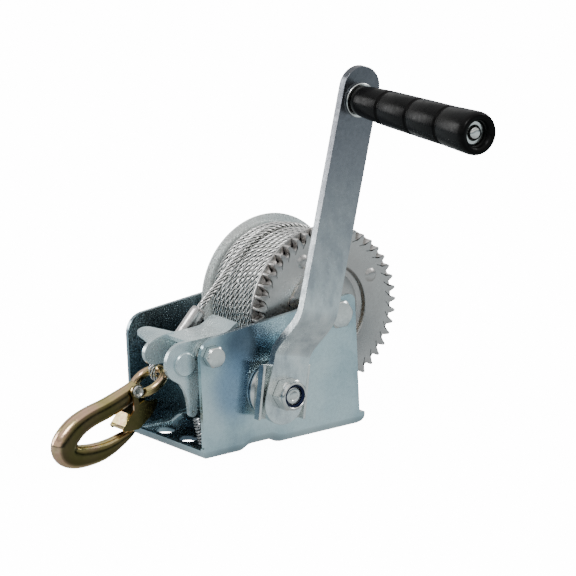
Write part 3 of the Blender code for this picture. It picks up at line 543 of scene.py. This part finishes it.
def last_wrap(shape):
    """The end of the rope lies on top of the layer, from the free run over to the back."""
    end, sink, drift = math.radians(250), 5.0, 3.0
    path = []
    for k in range(110):
        share = k / 109
        angle = LEAVE + (end - LEAVE) * share
        radius = TOP_WRAP_R - sink * min(1.0, share / 0.4)
        path.append(Vector((RUN_X - drift * math.sin(math.pi * share / 2), -radius * math.cos(angle),
                            DRUM_Z + radius * math.sin(angle))))
    rope_into(shape, path, Vector((1, 0, 0)))


# ---------------------------------------------------------------- drum and gear

def involute(radius, base):
    """The involute function at that radius of a tooth flank rolled off that base circle."""
    pressure = math.acos(min(1.0, base / radius))
    return math.tan(pressure) - pressure


def gear_section(lower=0.0):
    """The gear's outline as (radius, angle) pairs, with teeth worn a little round at the tip."""
    pitch = MODULE * GEAR_TEETH / 2
    base = pitch * math.cos(PRESSURE_ANGLE)
    half = math.pi / GEAR_TEETH / 2 - BACKLASH / pitch + involute(pitch, base)
    tip, root = GEAR_TIP - lower, GEAR_ROOT - lower * 0.4
    outline = []
    for tooth in range(GEAR_TEETH):
        centre = MESH_ANGLE + 2 * math.pi * tooth / GEAR_TEETH
        sides = [(root, half - involute(root, base) + 0.006 - lower * 0.004)]
        for k in range(1, 5):
            r = root + (tip - 0.5 - root) * k / 4
            sides.append((r, half - involute(max(r, base), base) - lower * 0.012))
        crown = sides[-1][1]
        sides += [(tip - 0.12, crown * 0.78), (tip, crown * 0.45)]
        outline += [(r, centre - a) for r, a in sides] + [(r, centre + a) for r, a in reversed(sides)]
    return outline


def drum_gear():
    """Teeth with softened edges, a pressed disc with ring lines round its dish, and four dimples."""
    low, high = GEAR_X
    shape = bmesh.new()
    rings = []
    for x, lower in ((low, 0.35), (low + 0.35, 0.0), (high - 0.45, 0.0), (high - 0.1, 0.2),
                     (high, 0.55)):
        rings.append([
            shape.verts.new((x * MM, r * math.cos(a) * MM, (DRUM_Z + r * math.sin(a)) * MM))
            for r, a in gear_section(lower)
        ])
    skin(shape, rings)
    step = len(rings[0])
    profile = [
        (47.2, high), (46.6, high - 0.05), (31.6, high - 0.05), (31.0, high - 0.3),
        (30.6, high - 1.0), (30.2, high - 2.6), (29.6, DISH_X + 0.2), (28.9, DISH_X),
        (27.2, DISH_X), (26.8, DISH_X - 0.25), (26.2, DISH_X - 0.25), (25.8, DISH_X),
        (14.6, DISH_X), (14.1, DISH_X - 0.2), (14.0, DISH_X - 0.6), (14.0, low), (47.2, low),
    ]
    angles = [MESH_ANGLE + 2 * math.pi * k / step for k in range(step)]
    discs = []
    for r, x in profile:
        discs.append([
            shape.verts.new((x * MM, r * math.cos(a) * MM, (DRUM_Z + r * math.sin(a)) * MM))
            for a in angles
        ])
    skin(shape, discs)
    skin(shape, [discs[0], rings[-1]])
    skin(shape, [discs[-1], rings[0]])
    for k in range(4):
        angle = math.radians(DIMPLE_TURN + 90 * k)
        y, z = DIMPLE_R * math.cos(angle), DRUM_Z + DIMPLE_R * math.sin(angle)
        dome = [(0, high + 1.6), (1.4, high + 1.52), (2.6, high + 1.3), (3.6, high + 0.8),
                (4.2, high + 0.2), (4.7, high - 0.1), (4.5, high - 1.5), (0, high - 1.5)]
        turn_into(shape, dome, y, z, 32)
    detailed("drum_gear", shape, 38)


def flanges():
    """The round rim behind the gear, and the far disc with its rolled lip."""
    low, high = 25.4, 26.6
    turned("near_flange", [
        (55.1, high), (55.5, high - 0.3), (55.5, low + 0.3), (55.1, low), (48.6, low), (17.6, low),
        (17.5, high),
    ], 0, DRUM_Z, 144)
    low, high = -35.8, -34.4
    lip = 51.8
    turned("far_flange", [
        (11.3, low), (46.5, low), (48.6, low - 0.15), (lip - 1.2, low - 0.9), (lip - 0.5, low - 1.0),
        (lip, low - 0.6), (lip, high - 1.2), (lip - 0.25, high - 0.8), (lip - 1.2, high - 0.65),
        (48.6, high - 0.1), (46.5, high), (11.3, high),
    ], 0, DRUM_Z, 144)


# ---------------------------------------------------------------- fasteners

def hex_into(shape, across, base, face, y, z, hole=0.0, dish=0.0):
    """A hexagon with chamfered corners, its end turned to a round washer face."""
    flat, corner = across / 2, across / math.sqrt(3) - HEX_EASE
    washer = flat * 0.95
    angles = [2 * math.pi * k / HEX_STEPS for k in range(HEX_STEPS)]
    turns = [(a + math.pi / 6) % (math.pi / 3) - math.pi / 6 for a in angles]
    edge = [min(flat / math.cos(math.pi / 6 - abs(turn)), corner) for turn in turns]
    rows = [
        [(r, base) for r in edge],
        [(r, face - (0.35 + (r - washer) * 0.62)) for r in edge],
        [(washer, face)] * HEX_STEPS,
        [(hole or 0.6 * flat, face - dish)] * HEX_STEPS,
    ]
    rings = []
    for row in rows:
        rings.append([
            shape.verts.new((x * MM, (y + r * math.cos(a)) * MM, (z + r * math.sin(a)) * MM))
            for (r, x), a in zip(row, angles)
        ])
    if hole:
        inner = [shape.verts.new((base * MM, v.co.y, v.co.z)) for v in rings[-1]]
        skin(shape, [*rings, inner, rings[0]])
        return
    skin(shape, rings)
    shape.faces.new(rings[-1])
    shape.faces.new(rings[0])


def fasteners():
    bolt("drum_axle_bolt", 17, HEAD_X, 50.2, (-54.0, 6.0), 0, DRUM_Z)
    bolt("pawl_pivot_bolt", 13, HEAD_X, 49.1, (3.4, 4.0), *PIVOT)
    lock_nut()
    y, z = SHAFT
    turned("drive_shaft", [
        (0, 66.35), (2.4, 66.35), (2.9, 66.2), (3.3, 66.5), (5.1, 66.5), (5.7, 66.2), (6.0, 65.7),
        (6.0, 49.0), (9.0, 49.0), (9.0, -44.6), (8.0, -44.6), (8.0, -46.2), (9.0, -46.2),
        (9.0, -48.2), (8.2, -49.0), (0, -49.0),
    ], y, z, 64)
    turned("nylon_insert", [
        (7.2, 68.0), (7.35, 67.7), (7.35, 66.3), (6.3, 66.3), (6.3, 67.7), (6.5, 68.0),
    ], y, z, 64)
    turned("thrust_washer", [
        (9.8, 47.8), (13.8, 47.8), (14.4, 47.6), (19.0, 45.9), (19.5, 45.5), (19.5, 44.3), (19.2, 44.1),
        (18.5, 44.1), (13.6, 46.3), (9.3, 46.3), (9.3, 47.6),
    ], y, z, 96)


def bolt(node, across, base, face, shank, y, z):
    """A hexagon bolt; its shank is given as (end, radius)."""
    shape = bmesh.new()
    hex_into(shape, across, base, face, y, z, dish=0.25)
    low, radius = shank
    turn_into(shape, [(radius, base), (radius, low + 0.8), (radius - 0.8, low), (0, low)], y, z, 48)
    detailed(node, shape, 30)


def lock_nut():
    """A hexagon nut whose round collar holds the nylon ring."""
    low, y, z = 58.1, *SHAFT
    shape = bmesh.new()
    hex_into(shape, 19, low, low + 8.0, y, z, hole=6.3)
    turn_into(shape, [
        (9.7, low + 7.4), (9.7, low + 8.7), (9.5, low + 9.6), (9.1, low + 10.3), (8.5, low + 10.6),
        (8.0, low + 10.5), (7.6, low + 10.1), (7.5, low + 9.4), (7.5, low + 7.4),
    ], y, z, 96)
    detailed("crank_lock_nut", shape, 32)


# ---------------------------------------------------------------- grip

def grip():
    """The grip swells towards its end and has three grooves; the rod's head shows in its bore."""
    y, z = GRIP
    low, high = GRIP_X
    start = low + 1.1
    length = high - start
    outer = [(8.7, start), (9.3, start + 0.4), (9.7, start + 1.4), (10.15, start + 6),
             (10.6, start + 12.7)]
    for share, size in ((0.245, 11.6), (0.5, 12.4), (0.755, 13.1)):
        at = start + length * share
        outer += [(size - 0.12, at - 2.3), (size - 0.25, at - 1.6), (size - 0.75, at - 1.0),
                  (size - 1.0, at), (size - 0.75, at + 1.0), (size - 0.2, at + 1.6),
                  (size + 0.02, at + 2.3)]
    outer += [(14.0, high - 9.0), (14.1, high - 5.0), (13.9, high - 2.8), (13.4, high - 1.2),
              (12.9, high - 0.4), (12.3, high), (11.7, high)]
    bore = [(10.2, high - 0.2), (9.2, high - 0.9), (8.5, high - 2.0), (8.1, high - 4.0),
            (8.0, high - 8.0), (ROD_BORE, high - 8.0), (ROD_BORE, start)]
    turned("hand_grip", outer[::-1] + bore[::-1], y, z, 128, 50)
    turned("grip_rod", [
        (0, high - 3.0), (1.2, high - 2.9), (2.6, high - 3.1), (4.0, high - 3.8), (4.8, high - 5.0),
        (5.0, high - 5.6), (5.0, low - 7.2), (10.7, low - 7.2), (11.0, low - 7.5), (11.0, low - 10.8),
        (10.6, low - 11.4), (9.5, low - 12.8), (7.5, low - 13.2), (0, low - 13.4),
    ], y, z, 64)
    turned("grip_washer", [
        (ROD_BORE, low - 0.6), (10.9, low - 0.6), (11.2, low - 0.3), (11.2, low + 0.5),
        (10.9, low + 0.8), (ROD_BORE, low + 0.8),
    ], y, z, 72)
    turned("grip_end_washer", [
        (ROD_BORE, high - 7.6), (7.6, high - 7.6), (7.6, high - 6.3), (7.2, high - 6.0),
        (ROD_BORE, high - 6.0),
    ], y, z, 64)


# ---------------------------------------------------------------- ferrule and hook

def loft_into(shape, sections):
    """Adds a solid through closed sections of points, capped at both ends."""
    rings = [[shape.verts.new(p * MM) for p in section] for section in sections]
    skin(shape, rings)
    shape.faces.new(rings[0])
    shape.faces.new(rings[-1])


FERRULE_SIZES = [
    # Share of the length, half width across the lobes, half thickness
    (0, 4.6, 3.0), (0.03, 5.3, 3.6), (0.12, 5.8, 4.0), (0.3, 6.05, 4.1), (0.6, 6.45, 4.1),
    (0.86, 6.8, 4.1), (0.95, 6.9, 3.95), (0.985, 6.5, 3.5), (1, 5.7, 2.9),
]


def ferrule():
    """Two round lobes, one on each leg of the loop, chamfered at both ends."""
    top, end, _, side = ferrule_line()
    sections = []
    for along, wide, thick in FERRULE_SIZES:
        corners = []
        for k in range(48):
            a, b = math.cos(2 * math.pi * k / 48), math.sin(2 * math.pi * k / 48)
            waist = 1 - 0.2 * math.exp(-((a / 0.32) ** 2))
            corners.append(
                top.lerp(end, along) + side * wide * a + Vector((thick * b * waist, 0, 0)))
        sections.append(corners)
    shape = bmesh.new()
    loft_into(shape, sections)
    detailed("ferrule", shape, 40)


HOOK_LINE = [
    # Y, Z, width in the hook's plane, thickness across it
    (-128.6, 45.4, 10.4, 9.0), (-134.5, 41.9, 12.4, 10.2), (-142.5, 38.8, 13.2, 11.0),
    (-153.5, 35.4, 13.4, 11.6), (-165.0, 32.6, 13.9, 12.2), (-174.6, 28.8, 14.7, 12.9),
    (-181.6, 23.6, 15.8, 13.4), (-186.2, 17.2, 17.0, 13.6), (-184.8, 11.8, 16.8, 13.2),
    (-178.6, 8.5, 15.8, 12.8), (-169.0, 7.4, 14.4, 12.0), (-158.5, 8.0, 12.6, 11.4),
    (-149.5, 10.2, 10.2, 10.4), (-141.5, 13.3, 7.8, 9.0), (-136.0, 15.5, 5.4, 7.6),
    (-132.8, 16.7, 3.0, 5.8),
]


def shank_into(shape):
    """Adds the shank and bend: sections between an ellipse and a box along the hook's line."""
    sections = []
    fine = smooth_path(HOOK_LINE, 1.8)
    for i, row in enumerate(fine):
        run = fine[min(i + 1, len(fine) - 1)] - fine[max(i - 1, 0)]
        run = Vector((0, run[0], run[1])).normalized()
        out = Vector((0, -run.z, run.y))
        middle = Vector((HOOK_X, row[0], row[1]))
        corners = []
        for k in range(32):
            angle = 2 * math.pi * (k + 0.5) / 32
            a, b = math.cos(angle), math.sin(angle)
            a, b = math.copysign(abs(a) ** 0.82, a), math.copysign(abs(b) ** 0.82, b)
            corners.append(middle + out * a * row[2] / 2 + Vector((b * row[3] / 2, 0, 0)))
        sections.append(corners)
    loft_into(shape, sections)


def eye_into(shape):
    """Adds the round eye, which is turned a quarter turn from the hook's bend."""
    across, up = Vector((1, 0, 0)), Vector((0, *EYE_DIR))
    away = across.cross(up)
    rings = []
    for k in range(72):
        angle = 2 * math.pi * k / 72
        out = across * math.cos(angle) + up * math.sin(angle)
        centre = Vector((HOOK_X, *EYE)) + out * EYE_R
        rings.append([
            shape.verts.new((centre + (out * math.cos(t) + away * math.sin(t)) * EYE_WIRE) * MM)
            for t in (2 * math.pi * j / 20 for j in range(20))
        ])
    skin(shape, [*rings, rings[0]])


def hook():
    """A forged shank and bend, with the eye grown out of it."""
    shape = bmesh.new()
    shank_into(shape)
    eye_into(shape)
    whole = bpy.data.objects.new("hook_whole", mesh_of("hook_whole", shape))
    bpy.context.scene.collection.objects.link(whole)
    remesh = whole.modifiers.new("one skin", "REMESH")
    remesh.mode = "VOXEL"
    remesh.voxel_size = 0.55 * MM
    tools = cut_seats(whole)
    ease = whole.modifiers.new("forged", "SMOOTH")
    ease.factor, ease.iterations = 0.5, 3
    graph = bpy.context.evaluated_depsgraph_get()
    mesh = bpy.data.meshes.new_from_object(whole.evaluated_get(graph))
    for spent in (whole, *tools):
        bpy.data.objects.remove(spent)
    mesh.shade_smooth()
    mesh.materials.clear()
    place("hook_body_detail", mesh, "hook_body")


def cut_seats(whole):
    """A flat round seat for the latch's ear, and the rivet's hole."""
    tools = []
    for r, low, high in ((5.3, HOOK_X + 6.1, HOOK_X + 16), (2.9, HOOK_X - 12, HOOK_X + 12)):
        shape = bmesh.new()
        turn_into(shape, [(0, low), (r, low), (r, high), (0, high)], *RIVET, 48)
        tool = bpy.data.objects.new("cut", mesh_of("cut", shape))
        bpy.context.scene.collection.objects.link(tool)
        cut = whole.modifiers.new("cut", "BOOLEAN")
        cut.object = tool
        cut.solver = "EXACT"
        tools.append(tool)
    return tools


def rivet():
    """A tubular rivet: its near end is rolled to a rim round a shallow hollow."""
    profile = [(0, 7.6), (1.6, 7.8), (2.1, 8.6), (2.6, 9.5), (3.1, 9.75), (3.7, 9.5), (4.2, 8.7),
               (4.2, 8.2), (2.6, 8.2), (2.6, -3.6), (0, -3.6)]
    turned("latch_rivet", [(r, HOOK_X + x) for r, x in profile], *RIVET, 48)


# ---------------------------------------------------------------- studio

def camera():
    data = bpy.data.cameras.new("camera")
    data.lens = LENS
    data.sensor_width = 36
    data.clip_start, data.clip_end = 0.1, 60
    made = bpy.data.objects.new("camera", data)
    bpy.context.scene.collection.objects.link(made)
    turn = (
        Matrix.Rotation(math.radians(AZIMUTH), 4, "Z")
        @ Matrix.Rotation(math.radians(90 - ELEVATION), 4, "X")
        @ Matrix.Rotation(math.radians(ROLL), 4, "Z")
    )
    back = turn @ Vector((0, 0, 1))
    made.matrix_world = Matrix.Translation((Vector(AIM) + back * DISTANCE) * MM) @ turn
    bpy.context.scene.camera = made


def area_light(name, spot, size, power):
    """A soft box at a spot in metres, turned to the object."""
    data = bpy.data.lights.new(name, "AREA")
    data.shape = "RECTANGLE"
    data.size, data.size_y = size
    data.energy = power
    made = bpy.data.objects.new(name, data)
    bpy.context.scene.collection.objects.link(made)
    away = (Vector(spot) - Vector(LIGHT_AIM)).normalized()
    made.matrix_world = Matrix.Translation(spot) @ away.to_track_quat("Z", "Y").to_matrix().to_4x4()


# The room's colour from straight down to straight up
SKY = [
    (0.0, (0.42, 0.44, 0.45)), (0.28, (0.55, 0.60, 0.62)), (0.40, (0.74, 0.83, 0.86)),
    (0.455, (0.30, 0.38, 0.43)), (0.485, (0.03, 0.05, 0.07)), (0.525, (0.03, 0.05, 0.07)),
    (0.56, (0.60, 0.64, 0.65)), (0.66, (1.0, 1.0, 0.98)), (0.78, (0.35, 0.38, 0.40)),
    (0.86, (1.1, 1.1, 1.1)), (1.0, (0.9, 0.9, 0.9)),
]
BACKDROP = 14.0
LIGHT_AIM = (0, 0, 0.1)


def world():
    """White to the camera; to the metal, a soft room that is dark round the horizon."""
    made = bpy.data.worlds.new("studio")
    bpy.context.scene.world = made
    made.use_nodes = True
    nodes, link = made.node_tree.nodes, made.node_tree.links.new
    where = nodes.new("ShaderNodeTexCoord")
    split = nodes.new("ShaderNodeSeparateXYZ")
    link(where.outputs["Generated"], split.inputs["Vector"])
    height = nodes.new("ShaderNodeMapRange")
    height.inputs["From Min"].default_value = -1
    link(split.outputs["Z"], height.inputs["Value"])
    room = nodes["Background"]
    link(ramp(nodes, link, height.outputs["Result"], SKY), room.inputs["Color"])
    white = nodes.new("ShaderNodeBackground")
    white.inputs["Strength"].default_value = BACKDROP
    rays = nodes.new("ShaderNodeLightPath")
    pick = nodes.new("ShaderNodeMixShader")
    link(rays.outputs["Is Camera Ray"], pick.inputs["Fac"])
    link(room.outputs["Background"], pick.inputs[1])
    link(white.outputs["Background"], pick.inputs[2])
    link(pick.outputs["Shader"], nodes["World Output"].inputs["Surface"])


def floor():
    """A plain floor as bright as the backdrop, which the object doesn't mirror."""
    bpy.ops.mesh.primitive_plane_add(size=30, location=(0, 0, -0.0002))
    made = bpy.context.object
    made.name = "floor"
    look, nodes, _ = node_material("floor")
    shader = nodes["Principled BSDF"]
    shader.inputs["Base Color"].default_value = (0.9, 0.9, 0.9, 1)
    shader.inputs["Roughness"].default_value = 0.9
    shader.inputs["Emission Color"].default_value = (1, 1, 1, 1)
    shader.inputs["Emission Strength"].default_value = BACKDROP
    made.data.materials.append(look)
    made.visible_glossy = False
    made.visible_diffuse = False


def studio():
    world()
    floor()
    area_light("key", (1.2, -1.4, 2.6), (1.2, 0.9), 42)
    area_light("left", (-2.2, -1.4, 0.8), (0.7, 1.4), 20)
    area_light("back", (0.6, 2.4, 1.7), (1.6, 0.8), 26)


# ---------------------------------------------------------------- the winch

camera()
studio()
FREE, LOOP = cable_points()
free_run = rope("cable_run", FREE, Vector((1, 0, 0)))
loop_run = rope("cable_loop", LOOP, Vector((1, 0, 0)))
winding()
drum_gear()
flanges()
fasteners()
grip()
ferrule()
hook()
rivet()
for name, width in (("frame", 0.7), ("pawl", 0.8), ("crank_arm", 0.9), ("handle_bracket", 0.5),
                    ("hook_latch", 0.35)):
    bevelled(name, width)
